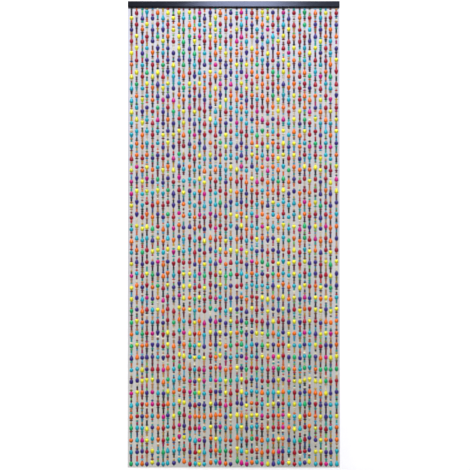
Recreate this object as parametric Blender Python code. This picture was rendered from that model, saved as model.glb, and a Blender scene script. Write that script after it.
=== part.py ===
"""Bead curtain on a header rail.

Forty bead strings hang from a narrow batten, which is seated in a groove in the underside
of a black header rail. Each string is a plain four-sided strand here, as wide as the
string is on average with its beads on it.

Metres, +Z up, the front faces -Y. The origin is the centre of the rail's flat back face,
the face that lies against a wall.
"""

import math
import random

import bmesh
import bpy
from mathutils import Matrix, Vector

# Overall size: top of the rail to the end of the longest string
OVERALL_HEIGHT = 1.980

# Header rail. A rounding is given by its depth and its height.
RAIL_LENGTH = 0.900
RAIL_HEIGHT = 0.028
RAIL_DEPTH = 0.020
RAIL_TOP_ROUNDING = (0.001, 0.001)
RAIL_LOWER_ROUNDING = (0.005, 0.008)
RAIL_EDGE_STEPS = 5
RAIL_END_CHAMFER = 0.0006

# Groove under the rail, closed at both ends
GROOVE_WIDTH = 0.011
GROOVE_DEPTH = 0.006
GROOVE_END_WALL = 0.005

# Batten in the groove
SEAT_GAP = 0.0003
BATTEN_WIDTH = GROOVE_WIDTH - 2 * SEAT_GAP
BATTEN_HEIGHT = GROOVE_DEPTH - SEAT_GAP
BATTEN_LENGTH = RAIL_LENGTH - 2 * (GROOVE_END_WALL + SEAT_GAP)

# Strings
STRINGS = 40
STRING_WIDTH = 0.010
FIRST_STRING = 0.0145
STRING_PITCH = (RAIL_LENGTH - 2 * FIRST_STRING) / (STRINGS - 1)
STRING_BANDS = 16
ROOT_OVERLAP = 0.002

# How unevenly they hang
STRING_SEED = 29
PITCH_SPREAD = 0.0018
LEAN_SPREAD = 0.0030
SWAY_SPREAD = 0.0012
SWAY_TURNS = (1.2, 3.4)
FORWARD_SPREAD = 0.0015
SHORT_SPREAD = 0.034

# Places that follow from the sizes
RAIL_TOP = RAIL_HEIGHT / 2
RAIL_UNDERSIDE = -RAIL_HEIGHT / 2
STRING_Y = -RAIL_DEPTH / 2
LONGEST_STRING = OVERALL_HEIGHT - RAIL_HEIGHT

# Turns a section drawn in X and Y so that it stands in Y and Z, with its depth along X
ALONG_X = Matrix(((0, 0, 1, 0), (1, 0, 0, 0), (0, 1, 0, 0), (0, 0, 0, 1)))
WELD = 0.00001

# Finishes: linear colour and roughness
RAIL_COLOUR = (0.012, 0.013, 0.018, 1.0)
RAIL_ROUGHNESS = 0.32
STRING_COLOUR = (0.42, 0.20, 0.10, 1.0)
STRING_ROUGHNESS = 0.35


def hanging_rows():
    """One row for each string: its place along the rail, its lean and sway, and its length."""
    draw = random.Random(STRING_SEED)
    rows = []
    for index in range(STRINGS):
        place = -RAIL_LENGTH / 2 + FIRST_STRING + index * STRING_PITCH
        rows.append(
            {
                "x": place + draw.uniform(-1, 1) * PITCH_SPREAD,
                "lean": draw.uniform(-1, 1) * LEAN_SPREAD,
                "sway": draw.uniform(-1, 1) * SWAY_SPREAD,
                "turns": draw.uniform(*SWAY_TURNS),
                "forward": draw.random() * FORWARD_SPREAD,
                "short": draw.random() ** 3 * SHORT_SPREAD,
            }
        )
    least = min(row["short"] for row in rows)
    for row in rows:
        row["length"] = LONGEST_STRING - (row["short"] - least)
    return rows


def drift(row, drop):
    """Sideways and forward offset of a string at a drop below the rail's underside."""
    part = max(drop, 0.0) / LONGEST_STRING
    wave = math.sin(2 * math.pi * row["turns"] * part)
    across = row["lean"] * part**2 + row["sway"] * wave * part
    return across, -row["forward"] * part**2


def finish(name, colour, roughness):
    material = bpy.data.materials.new(name)
    material.use_nodes = True
    shader = material.node_tree.nodes["Principled BSDF"]
    shader.inputs["Base Color"].default_value = colour
    shader.inputs["Roughness"].default_value = roughness
    shader.inputs["Metallic"].default_value = 0.0
    return material


def add_object(name, mesh_data, collection, material=None):
    mesh = bpy.data.meshes.new(name)
    mesh_data.to_mesh(mesh)
    mesh_data.free()
    thing = bpy.data.objects.new(name, mesh)
    collection.objects.link(thing)
    if material is not None:
        mesh.materials.append(material)
    return thing


def box(mesh_data, low, high):
    """Adds a closed box between two corners and returns its vertices."""
    low, high = Vector(low), Vector(high)
    place = Matrix.Translation((low + high) / 2) @ Matrix.Diagonal((*(high - low), 1.0))
    return bmesh.ops.create_cube(mesh_data, size=1.0, matrix=place)["verts"]


def make_cutter(thing):
    thing.hide_render = True
    thing.display_type = "WIRE"


def boolean(thing, other, operation):
    cut = thing.modifiers.new(operation.title(), "BOOLEAN")
    cut.object = other
    cut.operation = operation
    cut.solver = "EXACT"


def arc(centre, radii, start, end):
    """Points of an elliptical arc, both ends included, with its angles in degrees."""
    angles = [start + (end - start) * step / RAIL_EDGE_STEPS for step in range(RAIL_EDGE_STEPS + 1)]
    return [
        (
            centre[0] + radii[0] * math.cos(math.radians(angle)),
            centre[1] + radii[1] * math.sin(math.radians(angle)),
        )
        for angle in angles
    ]


def rail_section():
    """The rail's section, as depth and height: square at the back, round at the front."""
    upper = (RAIL_TOP_ROUNDING[0] - RAIL_DEPTH, RAIL_TOP - RAIL_TOP_ROUNDING[1])
    lower = (RAIL_LOWER_ROUNDING[0] - RAIL_DEPTH, RAIL_UNDERSIDE + RAIL_LOWER_ROUNDING[1])
    return [
        (0.0, RAIL_TOP),
        *arc(upper, RAIL_TOP_ROUNDING, 90, 180),
        *arc(lower, RAIL_LOWER_ROUNDING, 180, 270),
        (0.0, RAIL_UNDERSIDE),
    ]


def extruded(name, outline, length, chamfer):
    """A closed mesh along X from an outline in Y and Z, with a chamfer round both ends."""
    curve = bpy.data.curves.new(name, "CURVE")
    curve.dimensions = "2D"
    curve.fill_mode = "BOTH"
    curve.extrude = length / 2 - chamfer
    curve.bevel_depth = chamfer
    curve.bevel_resolution = 0
    curve.offset = -chamfer
    spline = curve.splines.new("POLY")
    spline.points.add(len(outline) - 1)
    for point, (depth, height) in zip(spline.points, outline):
        point.co = (depth, height, 0.0, 1.0)
    spline.use_cyclic_u = True

    drawn = bpy.data.objects.new(name, curve)
    bpy.context.scene.collection.objects.link(drawn)
    solid = drawn.evaluated_get(bpy.context.evaluated_depsgraph_get())
    mesh = bpy.data.meshes.new_from_object(solid)
    bpy.data.objects.remove(drawn, do_unlink=True)

    bar = bmesh.new()
    bar.from_mesh(mesh)
    bpy.data.meshes.remove(mesh)
    bmesh.ops.remove_doubles(bar, verts=bar.verts, dist=WELD)
    bmesh.ops.transform(bar, matrix=ALONG_X, verts=bar.verts)
    bmesh.ops.recalc_face_normals(bar, faces=bar.faces)
    return bar


def build_rail(collection, cutters):
    """The rail: a bar with round front edges, eased ends and a groove underneath."""
    half = RAIL_LENGTH / 2
    bar = extruded("rail_section", rail_section(), RAIL_LENGTH, RAIL_END_CHAMFER)
    rail = add_object(
        "header_rail", bar, collection, finish("black lacquer", RAIL_COLOUR, RAIL_ROUGHNESS)
    )

    slot = bmesh.new()
    reach = half - GROOVE_END_WALL
    box(
        slot,
        (-reach, STRING_Y - GROOVE_WIDTH / 2, RAIL_UNDERSIDE - GROOVE_DEPTH),
        (reach, STRING_Y + GROOVE_WIDTH / 2, RAIL_UNDERSIDE + GROOVE_DEPTH),
    )
    groove = add_object("groove_cutter", slot, cutters)
    make_cutter(groove)
    boolean(rail, groove, "DIFFERENCE")
    rail.data.shade_smooth()
    rail.data.set_sharp_from_angle(angle=math.radians(30))
    return rail


def add_strand(mesh_data, row):
    """One string as a straight box, cut across into bands."""
    half = STRING_WIDTH / 2
    corners = box(
        mesh_data,
        (row["x"] - half, STRING_Y - half, RAIL_UNDERSIDE - row["length"]),
        (row["x"] + half, STRING_Y + half, RAIL_UNDERSIDE + ROOT_OVERLAP),
    )
    uprights = [
        edge for edge in {edge for vert in corners for edge in vert.link_edges}
        if abs(edge.verts[0].co.z - edge.verts[1].co.z) > row["length"] / 2
    ]
    uprights.sort(key=lambda edge: (edge.verts[0].co.x, edge.verts[0].co.y))
    bmesh.ops.subdivide_edges(
        mesh_data, edges=uprights, cuts=STRING_BANDS - 1, use_grid_fill=True
    )


def hang_strands(mesh_data, rows):
    """Moves each level of each string to where the string hangs."""
    for vert in mesh_data.verts:
        along = vert.co.x + RAIL_LENGTH / 2 - FIRST_STRING
        row = rows[round(along / STRING_PITCH)]
        across, forward = drift(row, RAIL_UNDERSIDE - vert.co.z)
        vert.co.x += across
        vert.co.y += forward


def build_strings(collection, cutters):
    """The batten with the forty strings fused to it, one piece."""
    strip = bmesh.new()
    half = BATTEN_LENGTH / 2
    box(
        strip,
        (-half, STRING_Y - BATTEN_WIDTH / 2, RAIL_UNDERSIDE),
        (half, STRING_Y + BATTEN_WIDTH / 2, RAIL_UNDERSIDE + BATTEN_HEIGHT),
    )
    strings = add_object(
        "bead_strings", strip, collection, finish("bead wood", STRING_COLOUR, STRING_ROUGHNESS)
    )

    strands = bmesh.new()
    rows = hanging_rows()
    for row in rows:
        add_strand(strands, row)
    hang_strands(strands, rows)
    hung = add_object("strand_guide", strands, cutters)
    make_cutter(hung)
    boolean(strings, hung, "UNION")
    return strings


def clear_scene():
    for thing in list(bpy.data.objects):
        bpy.data.objects.remove(thing, do_unlink=True)


def new_collection(name):
    collection = bpy.data.collections.new(name)
    bpy.context.scene.collection.children.link(collection)
    return collection


def main():
    clear_scene()
    parts = new_collection("bead_curtain")
    cutters = new_collection("cutters")
    build_rail(parts, cutters)
    build_strings(parts, cutters)


main()
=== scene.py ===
"""Bead curtain on a black header rail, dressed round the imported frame.

Metres, +Z up, the front faces -Y. Every string hangs where the frame's strand hangs: the
rows below are worked out by the same rule from the same seed. Only the lower ends are more even
than the strands' ends.
"""

import math
import random

import bmesh
import bpy
import numpy as np
from mathutils import Matrix, Vector


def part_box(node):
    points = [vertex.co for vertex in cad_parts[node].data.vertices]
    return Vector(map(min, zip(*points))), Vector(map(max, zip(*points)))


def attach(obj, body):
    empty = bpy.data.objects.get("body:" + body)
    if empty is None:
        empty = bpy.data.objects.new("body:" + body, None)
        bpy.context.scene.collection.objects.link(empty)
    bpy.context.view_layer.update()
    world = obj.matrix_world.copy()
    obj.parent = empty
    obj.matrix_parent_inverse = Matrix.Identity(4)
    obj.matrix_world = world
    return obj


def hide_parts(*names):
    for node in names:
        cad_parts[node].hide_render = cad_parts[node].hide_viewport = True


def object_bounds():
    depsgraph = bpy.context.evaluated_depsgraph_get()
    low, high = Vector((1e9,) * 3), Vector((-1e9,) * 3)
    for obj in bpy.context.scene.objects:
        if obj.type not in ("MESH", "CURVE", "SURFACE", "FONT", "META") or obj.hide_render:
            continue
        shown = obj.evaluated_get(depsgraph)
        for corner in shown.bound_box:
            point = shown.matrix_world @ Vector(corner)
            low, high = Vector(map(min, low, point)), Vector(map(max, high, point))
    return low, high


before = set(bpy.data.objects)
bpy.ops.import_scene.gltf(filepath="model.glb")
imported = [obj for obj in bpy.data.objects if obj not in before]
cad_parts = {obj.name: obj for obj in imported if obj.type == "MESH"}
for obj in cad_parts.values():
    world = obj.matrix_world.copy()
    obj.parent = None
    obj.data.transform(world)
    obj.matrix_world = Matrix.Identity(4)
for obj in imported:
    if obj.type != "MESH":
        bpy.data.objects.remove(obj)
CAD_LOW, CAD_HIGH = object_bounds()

# Places read from the frame
RAIL_LOW, RAIL_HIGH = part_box("header_rail")
STRINGS_LOW, STRINGS_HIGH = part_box("bead_strings")
RAIL_LENGTH = RAIL_HIGH.x - RAIL_LOW.x
UNDERSIDE = RAIL_LOW.z
STRING_Y = (RAIL_LOW.y + RAIL_HIGH.y) / 2
LONGEST_STRING = UNDERSIDE - STRINGS_LOW.z

# The rule by which the strings hang, the same as in the frame's source
STRINGS = 40
FIRST_STRING = 0.0145
STRING_PITCH = (RAIL_LENGTH - 2 * FIRST_STRING) / (STRINGS - 1)
STRING_SEED = 29
PITCH_SPREAD = 0.0018
LEAN_SPREAD = 0.0030
SWAY_SPREAD = 0.0012
SWAY_TURNS = (1.2, 3.4)
FORWARD_SPREAD = 0.0015
SHORT_SPREAD = 0.014
SHORT_POWER = 3

# Bead layout along a string. Neighbours are staggered by about half a step. Small beads are
# added until less than FULL_WITHIN is left, and then stretched to fit.
BEAD_SEED = 7
FIRST_LARGE = (0.0420, 0.0198)
LARGE_STEP = 0.0502
LARGE_JITTER = 0.0016
TOP_GAP = 0.0004
FULL_WITHIN = 0.0035
LAST_LARGE_ABOVE_STOPPER = 0.008
STOPPER_LENGTH = 0.0022
STOPPER_WIDTH = 0.0046
SIZE_JITTER = 0.04
TONE_JITTER = 0.14
TILT = math.radians(4)

# Sides round a bead, and the angle past which its edges stay sharp
LARGE_SIDES = 16
SMALL_SIDES = 8
SHARP_ANGLE = math.radians(72)

# Outlines from hole to hole, as radius and height for a bead of unit half width and length
BALL = (
    (0.17, 1.0), (0.54, 0.85), (0.83, 0.57), (0.98, 0.20),
    (0.98, -0.20), (0.83, -0.57), (0.54, -0.85), (0.17, -1.0),
)
DROP = (
    (0.17, 1.0), (0.40, 0.82), (0.65, 0.47), (0.87, 0.08),
    (1.0, -0.34), (0.94, -0.67), (0.60, -0.92), (0.17, -1.0),
)
BARREL = (
    (0.20, 1.0), (0.62, 0.93), (0.88, 0.62), (1.0, 0.20),
    (1.0, -0.20), (0.88, -0.62), (0.62, -0.93), (0.20, -1.0),
)
OUTLINES = {
    "ball": BALL,
    "oval": BALL,
    "drop": DROP,
    "pear": tuple((radius, -height) for radius, height in reversed(DROP)),
    "barrel": BARREL,
    "seed": ((0.30, 1.0), (0.95, 0.52), (0.95, -0.52), (0.30, -1.0)),
    "round": ((0.25, 1.0), (0.84, 0.60), (1.0, 0.0), (0.84, -0.60), (0.25, -1.0)),
    "tube": ((0.36, 1.0), (0.98, 0.86), (0.98, -0.86), (0.36, -1.0)),
    "disc": ((0.22, 1.0), (0.97, 0.45), (0.97, -0.45), (0.22, -1.0)),
    "collar": ((0.22, 1.0), (0.97, 0.45), (0.97, -0.45), (0.22, -1.0)),
}

# Odds of a wide collar bead right under a large bead, and right over one
COLLAR_UNDER = 0.75
COLLAR_OVER = 0.3
NATURAL_COLLARS = 0.2

# Odds that a small bead has the colour of the one above it
SAME_AGAIN = 0.25

# Bead forms: share of the draw, length and width in metres
LARGE_FORMS = {
    "ball": (0.42, 0.0192, 0.0174),
    "oval": (0.20, 0.0220, 0.0168),
    "drop": (0.20, 0.0240, 0.0178),
    "pear": (0.10, 0.0230, 0.0174),
    "barrel": (0.08, 0.0196, 0.0166),
}
SMALL_FORMS = {
    "seed": (0.54, 0.0068, 0.0104),
    "round": (0.18, 0.0086, 0.0126),
    "tube": (0.20, 0.0092, 0.0088),
    "disc": (0.08, 0.0056, 0.0116),
}
COLLAR_FORM = (1.0, 0.0078, 0.0144)

# Dyes: share of the draw, sRGB colour, strength of the wood grain
LARGE_DYES = {
    "yellow": (0.19, (236, 229, 46), 0.12),
    "red": (0.17, (170, 4, 34), 0.12),
    "purple": (0.17, (58, 40, 124), 0.12),
    "cyan": (0.17, (22, 173, 184), 0.12),
    "orange": (0.16, (240, 114, 0), 0.12),
    "magenta": (0.07, (204, 0, 126), 0.12),
    "green": (0.07, (26, 179, 102), 0.12),
}
SMALL_DYES = {
    "cream": (0.13, (244, 234, 196), 0.20),
    "tan": (0.10, (214, 156, 84), 0.35),
    "leaf": (0.04, (112, 196, 92), 0.15),
    "coral": (0.03, (206, 62, 34), 0.15),
    "maroon": (0.10, (112, 0, 24), 0.15),
    "brown": (0.06, (104, 54, 20), 0.35),
    "dark_brown": (0.08, (30, 16, 12), 0.30),
    "dark_green": (0.06, (10, 38, 22), 0.15),
    "olive": (0.05, (132, 120, 34), 0.20),
    "teal": (0.12, (18, 164, 144), 0.15),
    "cyan": (0.05, (10, 156, 184), 0.15),
    "steel_blue": (0.03, (28, 64, 122), 0.15),
    "plum": (0.01, (50, 12, 60), 0.15),
    "orange": (0.04, (230, 110, 6), 0.15),
    "ochre": (0.05, (210, 172, 10), 0.20),
    "sky": (0.02, (120, 200, 220), 0.12),
    "magenta": (0.02, (182, 8, 92), 0.15),
    "scarlet": (0.02, (192, 8, 10), 0.15),
}
NATURAL_DYES = {
    "natural": (0.50, (216, 172, 122), 0.45),
    "cream": (0.35, (240, 228, 194), 0.30),
    "honey": (0.15, (198, 142, 66), 0.45),
}

# Stage and light
STAGE_REACH = 6.0
FLOOR_DROP = 0.42
WALL_Y = 1.25
PANEL_Y = 1.20
RAIL_TOP_HIDDEN = 0.006
WHITE = (0.90, 0.90, 0.90)
PALE = (0.62, 0.62, 0.62)
# The board's grey fades from bluish at the top to warmer and lighter at the foot. This is painted
# light: the bluish lamp's tint above and warm bounce light below, which also takes back part of
# the lamp's falloff. The curve darkens a band at mid height that the lamps left too bright.
PANEL_TOP_GREY_AND_PAINTED_LIGHT = (0.72, 0.72, 0.757)
PANEL_FOOT_GREY_AND_PAINTED_LIGHT = (0.86, 0.865, 0.812)
PANEL_PAINTED_LIGHT_CURVE = 0.5
PANEL_BELOW = 0.001
WALL_GLOW = 0.45
WORLD_STRENGTH = 0.18
WORLD_COLOUR = (1.0, 0.98, 0.96, 1.0)
CEILING_PLACE = (-1.8, -7.0, 11.8)
CEILING_SIZE = (7.2, 7.2)
CEILING_POWER = 2330
CEILING_COLOUR = (1.0, 0.96, 0.90)
WINDOW_PLACE = (0.08, -3.2, 0.80)
WINDOW_TARGET = (0, 0, -0.1)
WINDOW_SIZE = (0.66, 2.1)
WINDOW_POWER = 86
WINDOW_COLOUR = (0.56, 0.64, 1.0)

# The photograph's frame: 470 pixels square, with the rail 212 pixels long
PHOTO_SIDE = 470
RAIL_PIXELS = 212.0
OBJECT_MIDDLE = (233.75, 234.17)
CAMERA_DISTANCE = 3.5
SENSOR_WIDTH = 36.0

# Batten in the rail's groove
BATTEN_WIDTH = 0.0104
BATTEN_EDGE = 0.0005

# Black lacquer on the rail, and the duller one on the batten
LACQUER_COLOUR = (0.007, 0.008, 0.011, 1.0)
RAIL_ROUGHNESS = 0.17
BATTEN_ROUGHNESS = 0.45

# Colour sockets of a mix node, which share their names with its other sockets
MIX_FIRST = 6
MIX_SECOND = 7
MIX_RESULT = 2

# Thread
THREAD_COLOUR = (0.62, 0.60, 0.56, 1.0)
THREAD_RADIUS = 0.0005
THREAD_STEP = 0.08
KNOT_RADIUS = 0.0013


def hanging_rows():
    """One row for each string: its place along the rail, its lean and sway, and its length."""
    draw = random.Random(STRING_SEED)
    rows = []
    for index in range(STRINGS):
        place = RAIL_LOW.x + FIRST_STRING + index * STRING_PITCH
        rows.append(
            {
                "x": place + draw.uniform(-1, 1) * PITCH_SPREAD,
                "lean": draw.uniform(-1, 1) * LEAN_SPREAD,
                "sway": draw.uniform(-1, 1) * SWAY_SPREAD,
                "turns": draw.uniform(*SWAY_TURNS),
                "forward": draw.random() * FORWARD_SPREAD,
                "short": draw.random() ** SHORT_POWER * SHORT_SPREAD,
            }
        )
    least = min(row["short"] for row in rows)
    for row in rows:
        row["length"] = LONGEST_STRING - (row["short"] - least)
    return rows


def hang_point(row, drop):
    """Where a string is at a drop below the rail's underside."""
    part = max(drop, 0.0) / LONGEST_STRING
    wave = math.sin(2 * math.pi * row["turns"] * part)
    across = row["lean"] * part**2 + row["sway"] * wave * part
    forward = -row["forward"] * part**2
    return Vector((row["x"] + across, STRING_Y + forward, UNDERSIDE - drop))


def linear(colour):
    """Linear colour from sRGB numbers up to 255."""
    parts = [value / 255 for value in colour]
    return [p / 12.92 if p <= 0.04045 else ((p + 0.055) / 1.055) ** 2.4 for p in parts]


def pick(draw, table):
    """A key of a table whose rows start with their share."""
    names = list(table)
    return draw.choices(names, weights=[table[name][0] for name in names])[0]


def turned(outline, sides):
    """Points and quads of a closed turned bead: the outside, and the wall of its hole."""
    profile = np.asarray(outline)
    rings = len(profile)
    angles = 2 * math.pi * np.arange(sides) / sides
    points = np.empty((rings, sides, 3))
    points[:, :, 0] = profile[:, :1] * np.cos(angles)
    points[:, :, 1] = profile[:, :1] * np.sin(angles)
    points[:, :, 2] = profile[:, 1:]
    index = np.arange(rings * sides).reshape(rings, sides)
    below = np.roll(index, -1, axis=0)
    quads = np.stack(
        [index, below, np.roll(below, -1, axis=1), np.roll(index, -1, axis=1)], axis=-1
    )
    return points.reshape(-1, 3), quads.reshape(-1, 4)


TEMPLATES = {
    form: turned(outline, LARGE_SIDES if form in LARGE_FORMS else SMALL_SIDES)
    for form, outline in OUTLINES.items()
}


def toned(draw, dye):
    """The colour of one bead, a little lighter or darker than its dye, with its grain."""
    _, colour, grain = dye
    tone = 1 + draw.uniform(-1, 1) * TONE_JITTER
    return [min(part * tone, 1.0) for part in linear(colour)] + [grain]


def bead(draw, form, table_row, dyes):
    """One bead of a form, with its size, dye and tilt drawn by chance."""
    _, length, width = table_row
    return {
        "form": form,
        "length": length * (1 + draw.uniform(-1, 1) * SIZE_JITTER),
        "width": width * (1 + draw.uniform(-1, 1) * SIZE_JITTER),
        "dye": toned(draw, dyes[pick(draw, dyes)]),
        "tilt": draw.uniform(0, TILT),
    }


def large_bead(draw):
    form = pick(draw, LARGE_FORMS)
    return bead(draw, form, LARGE_FORMS[form], LARGE_DYES)


def small_bead(draw):
    form = pick(draw, SMALL_FORMS)
    dyes = NATURAL_DYES if form == "disc" else SMALL_DYES
    return bead(draw, form, SMALL_FORMS[form], dyes)


def collar_bead(draw):
    dyes = NATURAL_DYES if draw.random() < NATURAL_COLLARS else SMALL_DYES
    return bead(draw, "collar", COLLAR_FORM, dyes)


def fill(draw, top, bottom, collar_odds):
    """Small beads that fill a stretch of string, with a collar at either end by chance."""
    chosen = [collar_bead(draw) if draw.random() < collar_odds else small_bead(draw)]
    while sum(each["length"] for each in chosen) < bottom - top - FULL_WITHIN:
        chosen.append(small_bead(draw))
        if draw.random() < SAME_AGAIN:
            chosen[-1]["dye"] = chosen[-2]["dye"]
    if draw.random() < COLLAR_OVER:
        chosen[-1] = collar_bead(draw)
    stretch = (bottom - top) / sum(each["length"] for each in chosen)
    drop = top
    for each in chosen:
        each["length"] *= stretch
        each["drop"] = drop + each["length"] / 2
        drop += each["length"]
    return chosen


def string_beads(index, row, draw):
    """All beads of one string from the top down, each with its drop at its middle."""
    first = FIRST_LARGE[index % 2]
    stopper_top = row["length"] - STOPPER_LENGTH
    reach = stopper_top - LAST_LARGE_ABOVE_STOPPER - first
    count = round(reach / LARGE_STEP) + 1
    large = [large_bead(draw) for _ in range(count)]
    last = stopper_top - large[-1]["length"] / 2
    step = (last - first) / (count - 1)
    beads = []
    drop = TOP_GAP
    for number, each in enumerate(large):
        jitter = 0.0 if number == count - 1 else draw.uniform(-1, 1) * LARGE_JITTER
        each["drop"] = first + number * step + jitter
        odds = COLLAR_UNDER if number else 0.0
        beads += fill(draw, drop, each["drop"] - each["length"] / 2, odds)
        beads.append(each)
        drop = each["drop"] + each["length"] / 2
    stopper = small_bead(draw)
    stopper.update(form="seed", length=STOPPER_LENGTH, width=STOPPER_WIDTH)
    stopper["drop"] = stopper_top + STOPPER_LENGTH / 2
    beads.append(stopper)
    return beads


def placed(each, row, draw):
    """The points of one bead where it hangs."""
    points, _ = TEMPLATES[each["form"]]
    size = Matrix.Diagonal((each["width"] / 2, each["width"] / 2, each["length"] / 2))
    spin = Matrix.Rotation(draw.uniform(0, 2 * math.pi), 3, "Z")
    tilt = Matrix.Rotation(each["tilt"], 3, "X")
    about = Matrix.Rotation(draw.uniform(0, 2 * math.pi), 3, "Z")
    turn = np.array(about @ tilt @ about.transposed() @ spin @ size)
    return points @ turn.T + np.array(hang_point(row, each["drop"]))


def bead_mesh(name, row, beads, draw):
    """One mesh of all beads on a string, with each bead's dye kept on its points."""
    points, quads, dyes = [], [], []
    count = 0
    for each in beads:
        moved = placed(each, row, draw)
        points.append(moved)
        quads.append(TEMPLATES[each["form"]][1] + count)
        dyes.append(np.tile(each["dye"], (len(moved), 1)))
        count += len(moved)
    mesh = bpy.data.meshes.new(name)
    mesh.from_pydata(np.concatenate(points).tolist(), [], np.concatenate(quads).tolist())
    dye = mesh.attributes.new("dye", "FLOAT_COLOR", "POINT")
    dye.data.foreach_set("color", np.concatenate(dyes).astype(np.float32).ravel())
    mesh.shade_smooth()
    mesh.set_sharp_from_angle(angle=SHARP_ANGLE)
    return mesh


def add(name, data):
    """A new object of the scene that holds some data."""
    thing = bpy.data.objects.new(name, data)
    bpy.context.scene.collection.objects.link(thing)
    return thing


def dress(piece):
    """Makes a piece ride with the frame in place of the plain strands."""
    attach(piece, "root")
    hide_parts("bead_strings")


def add_strings(rows, material):
    """One piece for each string, all drawn in turn from one seed."""
    draw = random.Random(BEAD_SEED)
    for index, row in enumerate(rows):
        beads = string_beads(index, row, draw)
        name = f"string_{index + 1:02d}"
        piece = add(name, bead_mesh(name, row, beads, draw))
        piece.data.materials.append(material)
        dress(piece)


def add_threads(rows, material):
    """The threads, each from the batten to just under its last bead, where a knot ends it."""
    curve = bpy.data.curves.new("threads", "CURVE")
    curve.dimensions = "3D"
    curve.bevel_depth = THREAD_RADIUS
    curve.bevel_resolution = 1
    curve.use_fill_caps = True
    for row in rows:
        steps = math.ceil(row["length"] / THREAD_STEP)
        end = row["length"] + KNOT_RADIUS
        spline = curve.splines.new("POLY")
        spline.points.add(steps)
        for step, point in enumerate(spline.points):
            point.co = (*hang_point(row, end * step / steps), 1.0)
    piece = add("threads", curve)
    curve.materials.append(material)
    dress(piece)


def add_knots(rows, material):
    """The knots that end the threads, all in one mesh."""
    knots = bmesh.new()
    for row in rows:
        place = Matrix.Translation(hang_point(row, row["length"] + KNOT_RADIUS / 2))
        bmesh.ops.create_icosphere(
            knots, subdivisions=2, radius=KNOT_RADIUS, matrix=place
        )
    mesh = bpy.data.meshes.new("thread_knots")
    knots.to_mesh(mesh)
    knots.free()
    mesh.shade_smooth()
    mesh.materials.append(material)
    dress(add("thread_knots", mesh))


def add_batten(material):
    """The batten in the rail's groove, which the threads are tied into."""
    size = (STRINGS_HIGH.x - STRINGS_LOW.x, BATTEN_WIDTH, STRINGS_HIGH.z - UNDERSIDE, 1.0)
    middle = (0.0, STRING_Y, (UNDERSIDE + STRINGS_HIGH.z) / 2)
    bar = bmesh.new()
    place = Matrix.Translation(middle) @ Matrix.Diagonal(size)
    bmesh.ops.create_cube(bar, size=1.0, matrix=place)
    bmesh.ops.bevel(
        bar, geom=bar.edges[:], offset=BATTEN_EDGE, segments=2, profile=0.5, affect="EDGES"
    )
    mesh = bpy.data.meshes.new("batten")
    bar.to_mesh(mesh)
    bar.free()
    mesh.materials.append(material)
    dress(add("batten", mesh))


class Nodes:
    """A material's node tree, with short ways to add and join nodes."""

    def __init__(self, name):
        self.material = bpy.data.materials.new(name)
        self.material.use_nodes = True
        self.tree = self.material.node_tree
        self.shader = self.tree.nodes["Principled BSDF"]

    def new(self, kind, **settings):
        node = self.tree.nodes.new(kind)
        for key, value in settings.items():
            setattr(node, key, value)
        return node

    def join(self, output, socket):
        self.tree.links.new(output, socket)

    def set(self, **values):
        for key, value in values.items():
            self.shader.inputs[key.replace("_", " ")].default_value = value

    def noise(self, scale, detail=3.0, stretch=(1, 1, 1)):
        """Noise in the piece's own metres, stretched by dividing its scale on each axis."""
        place = self.new("ShaderNodeTexCoord")
        mapping = self.new("ShaderNodeMapping")
        mapping.inputs["Scale"].default_value = [1 / part for part in stretch]
        texture = self.new("ShaderNodeTexNoise")
        texture.inputs["Scale"].default_value = scale
        texture.inputs["Detail"].default_value = detail
        self.join(place.outputs["Object"], mapping.inputs["Vector"])
        self.join(mapping.outputs["Vector"], texture.inputs["Vector"])
        return texture.outputs["Fac"]

    def ranged(self, value, low, high, start=0.3, end=0.7):
        """A value from noise, spread from low to high."""
        spread = self.new("ShaderNodeMapRange")
        self.join(value, spread.inputs["Value"])
        spread.inputs["From Min"].default_value = start
        spread.inputs["From Max"].default_value = end
        spread.inputs["To Min"].default_value = low
        spread.inputs["To Max"].default_value = high
        return spread.outputs["Result"]

    def maths(self, operation, first, second):
        node = self.new("ShaderNodeMath", operation=operation)
        for socket, value in zip(node.inputs, (first, second)):
            if isinstance(value, (int, float)):
                socket.default_value = value
            else:
                self.join(value, socket)
        return node.outputs["Value"]

    def scaled(self, colour, by):
        """A colour times a number."""
        node = self.new("ShaderNodeVectorMath", operation="SCALE")
        self.join(colour, node.inputs[0])
        self.join(by, node.inputs["Scale"])
        return node.outputs["Vector"]

    def bump(self, height, distance, strength=1.0):
        node = self.new("ShaderNodeBump")
        node.inputs["Distance"].default_value = distance
        node.inputs["Strength"].default_value = strength
        self.join(height, node.inputs["Height"])
        self.join(node.outputs["Normal"], self.shader.inputs["Normal"])


def bead_material():
    """Dyed wood under gloss lacquer: grain along the thread, and uneven dye."""
    made = Nodes("lacquered_beads")
    dye = made.new("ShaderNodeAttribute", attribute_name="dye")
    grain = made.noise(scale=1400, detail=4.0, stretch=(1, 1, 7))
    cloud = made.noise(scale=160, detail=2.0)
    lines = made.maths("MULTIPLY", made.ranged(grain, low=0.0, high=1.0), dye.outputs["Alpha"])
    shade = made.maths("SUBTRACT", made.ranged(cloud, low=0.92, high=1.06), lines)
    made.join(made.scaled(dye.outputs["Color"], shade), made.shader.inputs["Base Color"])
    made.join(made.ranged(cloud, low=0.26, high=0.40), made.shader.inputs["Roughness"])
    made.bump(grain, distance=0.00006, strength=0.5)
    made.set(Coat_Weight=0.2, Coat_Roughness=0.10, Specular_IOR_Level=0.35)
    return made.material


def thread_material():
    """Pale twisted nylon."""
    made = Nodes("nylon_thread")
    twist = made.noise(scale=2500, detail=2.0, stretch=(1, 1, 3))
    made.join(made.ranged(twist, low=0.30, high=0.55), made.shader.inputs["Roughness"])
    colour = made.new("ShaderNodeRGB")
    colour.outputs["Color"].default_value = THREAD_COLOUR
    made.join(
        made.scaled(colour.outputs["Color"], made.ranged(twist, low=0.8, high=1.05)),
        made.shader.inputs["Base Color"],
    )
    made.bump(twist, distance=0.00005, strength=0.5)
    return made.material


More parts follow.
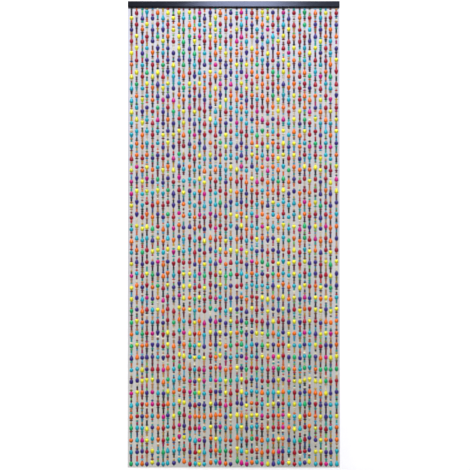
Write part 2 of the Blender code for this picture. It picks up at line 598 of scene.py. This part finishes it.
def rail_material(name, roughness):
    """Black satin lacquer on wood: faint pores along the bar, and uneven gloss."""
    made = Nodes(name)
    pores = made.noise(scale=320, detail=4.0, stretch=(120, 1, 1))
    peel = made.noise(scale=420, detail=2.0)
    smears = made.noise(scale=9, detail=3.0, stretch=(3, 1, 1))
    colour = made.new("ShaderNodeRGB")
    colour.outputs["Color"].default_value = LACQUER_COLOUR
    made.join(
        made.scaled(colour.outputs["Color"], made.ranged(pores, low=0.7, high=1.4)),
        made.shader.inputs["Base Color"],
    )
    gloss = made.ranged(smears, low=roughness - 0.04, high=roughness + 0.05)
    made.join(gloss, made.shader.inputs["Roughness"])
    grooves = made.maths("MULTIPLY", pores, 0.6)
    skin = made.maths("MULTIPLY", peel, 0.4)
    made.bump(made.maths("ADD", grooves, skin), distance=0.00005, strength=0.3)
    made.set(Specular_IOR_Level=0.36)
    return made.material


def one_sided(made):
    """Lets a stage wall be looked through from behind."""
    side = made.new("ShaderNodeNewGeometry")
    clear = made.new("ShaderNodeBsdfTransparent")
    mix = made.new("ShaderNodeMixShader")
    share, front, back = mix.inputs
    made.join(side.outputs["Backfacing"], share)
    made.join(made.shader.outputs["BSDF"], front)
    made.join(clear.outputs["BSDF"], back)
    made.join(mix.outputs["Shader"], made.tree.nodes["Material Output"].inputs["Surface"])


def stage_material(name, high, low, curve=1.0):
    """Matt paint that fades from one colour at the rail's height to another at the beads' end. On
    the board the fade is painted light: a bluish tint at the top, and a warmer, lighter grey at
    the foot.
    """
    made = Nodes(name)
    place = made.new("ShaderNodeTexCoord")
    parts = made.new("ShaderNodeSeparateXYZ")
    made.join(place.outputs["Object"], parts.inputs["Vector"])
    paint = made.new("ShaderNodeMix", data_type="RGBA")
    height = made.ranged(
        parts.outputs["Z"], low=0.0, high=1.0, start=CAD_LOW.z, end=CAD_HIGH.z
    )
    # On the board this fade is painted light: the bluish lamp's tint at the top, warm bounce
    # light at the foot, and a darker band at mid height.
    made.join(made.maths("POWER", height, curve), paint.inputs["Factor"])
    paint.inputs[MIX_FIRST].default_value = (*low, 1.0)
    paint.inputs[MIX_SECOND].default_value = (*high, 1.0)
    plaster = made.noise(scale=60, detail=4.0)
    made.join(
        made.scaled(paint.outputs[MIX_RESULT], made.ranged(plaster, low=0.985, high=1.015)),
        made.shader.inputs["Base Color"],
    )
    made.bump(plaster, distance=0.0004, strength=0.15)
    made.set(Roughness=0.9, Specular_IOR_Level=0.1)
    return made


def add_flat(name, corners, material):
    """A flat rectangle of the stage from its four corners."""
    mesh = bpy.data.meshes.new(name)
    mesh.from_pydata(corners, [], [range(4)])
    mesh.materials.append(material)
    flat = add(name, mesh)
    return flat


def upright(low_x, high_x, low_z, high_z, y):
    """Corners of an upright rectangle that faces -Y."""
    return [(low_x, y, low_z), (high_x, y, low_z), (high_x, y, high_z), (low_x, y, high_z)]


def cast_back(camera, low, high, y):
    """The upright rectangle at a depth that the curtain's front hides from the camera."""
    eye = camera.location
    ratio = (y - eye.y) / (RAIL_LOW.y - eye.y)
    return upright(
        eye.x + (low.x - eye.x) * ratio,
        eye.x + (high.x - eye.x) * ratio,
        eye.z + (low.z - eye.z) * ratio,
        eye.z + (high.z - eye.z) * ratio,
        y,
    )


def add_wall(floor_z):
    """A white wall with a glow of its own, well behind the curtain."""
    white = stage_material("stage_white", WHITE, WHITE)
    white.set(Emission_Color=(1.0, 1.0, 1.0, 1.0), Emission_Strength=WALL_GLOW)
    one_sided(white)
    corners = upright(-STAGE_REACH, STAGE_REACH, floor_z, floor_z + STAGE_REACH, WALL_Y)
    add_flat("stage_wall", corners, white.material)


def add_board(camera):
    """A grey board before the wall, which the camera sees only between the strings."""
    # The board's fade is painted light: a bluish lamp tint at the top, and warm bounce light at
    # the foot.
    panel = stage_material("stage_panel", PANEL_TOP_GREY_AND_PAINTED_LIGHT, PANEL_FOOT_GREY_AND_PAINTED_LIGHT, PANEL_PAINTED_LIGHT_CURVE)
    one_sided(panel)
    low = CAD_LOW - Vector((0, 0, PANEL_BELOW))
    high = CAD_HIGH - Vector((0, 0, RAIL_TOP_HIDDEN))
    add_flat("stage_panel", cast_back(camera, low, high, PANEL_Y), panel.material)


def add_floor(floor_z):
    """A pale floor that neither lights the beads nor shows in the lacquer."""
    turns = ((-1, -1), (1, -1), (1, 1), (-1, 1))
    corners = [(x * STAGE_REACH, y * STAGE_REACH, floor_z) for x, y in turns]
    floor = add_flat("stage_floor", corners, stage_material("stage_floor", PALE, PALE).material)
    floor.visible_diffuse = False
    floor.visible_glossy = False


def add_stage(camera):
    floor_z = CAD_LOW.z - FLOOR_DROP
    add_wall(floor_z)
    add_board(camera)
    add_floor(floor_z)


def aimed(thing, place, target):
    """Puts a thing at a place, turned to look at a target."""
    thing.location = place
    thing.rotation_euler = (Vector(target) - Vector(place)).to_track_quat("-Z", "Y").to_euler()
    return thing


def add_light(name, place, target, size, power, colour):
    lamp = bpy.data.lights.new(name, "AREA")
    lamp.shape = "RECTANGLE"
    lamp.size, lamp.size_y = size
    lamp.energy = power
    lamp.color = colour
    return aimed(add(name, lamp), place, target)


def add_world():
    world = bpy.data.worlds.new("studio")
    world.use_nodes = True
    background = world.node_tree.nodes["Background"]
    background.inputs["Color"].default_value = WORLD_COLOUR
    background.inputs["Strength"].default_value = WORLD_STRENGTH
    bpy.context.scene.world = world


def add_lights():
    """A large warm lamp high in front, and a tall bluish one nearer and lower."""
    middle = (CAD_LOW + CAD_HIGH) / 2
    add_light("ceiling", CEILING_PLACE, middle, CEILING_SIZE, CEILING_POWER, CEILING_COLOUR)
    add_light("window", WINDOW_PLACE, WINDOW_TARGET, WINDOW_SIZE, WINDOW_POWER, WINDOW_COLOUR)


def set_view_transform():
    view = bpy.context.scene.view_settings
    view.view_transform = "Standard"
    view.look = "None"


def add_camera():
    """Level and square to the curtain, with the object at its place in the frame."""
    metre = RAIL_LENGTH / RAIL_PIXELS
    middle = (CAD_LOW + CAD_HIGH) / 2
    data = bpy.data.cameras.new("camera")
    data.sensor_width = SENSOR_WIDTH
    data.lens = SENSOR_WIDTH * CAMERA_DISTANCE / (PHOTO_SIDE * metre)
    camera = add("camera", data)
    camera.location = (
        middle.x + (PHOTO_SIDE / 2 - OBJECT_MIDDLE[0]) * metre,
        RAIL_LOW.y - CAMERA_DISTANCE,
        middle.z - (PHOTO_SIDE / 2 - OBJECT_MIDDLE[1]) * metre,
    )
    camera.rotation_euler = (math.radians(90), 0, 0)
    bpy.context.scene.camera = camera
    return camera


def main():
    rows = hanging_rows()
    camera = add_camera()
    add_strings(rows, bead_material())
    nylon = thread_material()
    add_threads(rows, nylon)
    add_knots(rows, nylon)
    lacquer = rail_material("black_lacquer", RAIL_ROUGHNESS)
    add_batten(rail_material("batten_black", BATTEN_ROUGHNESS))
    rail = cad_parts["header_rail"]
    rail.data.materials.clear()
    rail.data.materials.append(lacquer)
    add_stage(camera)
    add_world()
    add_lights()
    set_view_transform()


main()
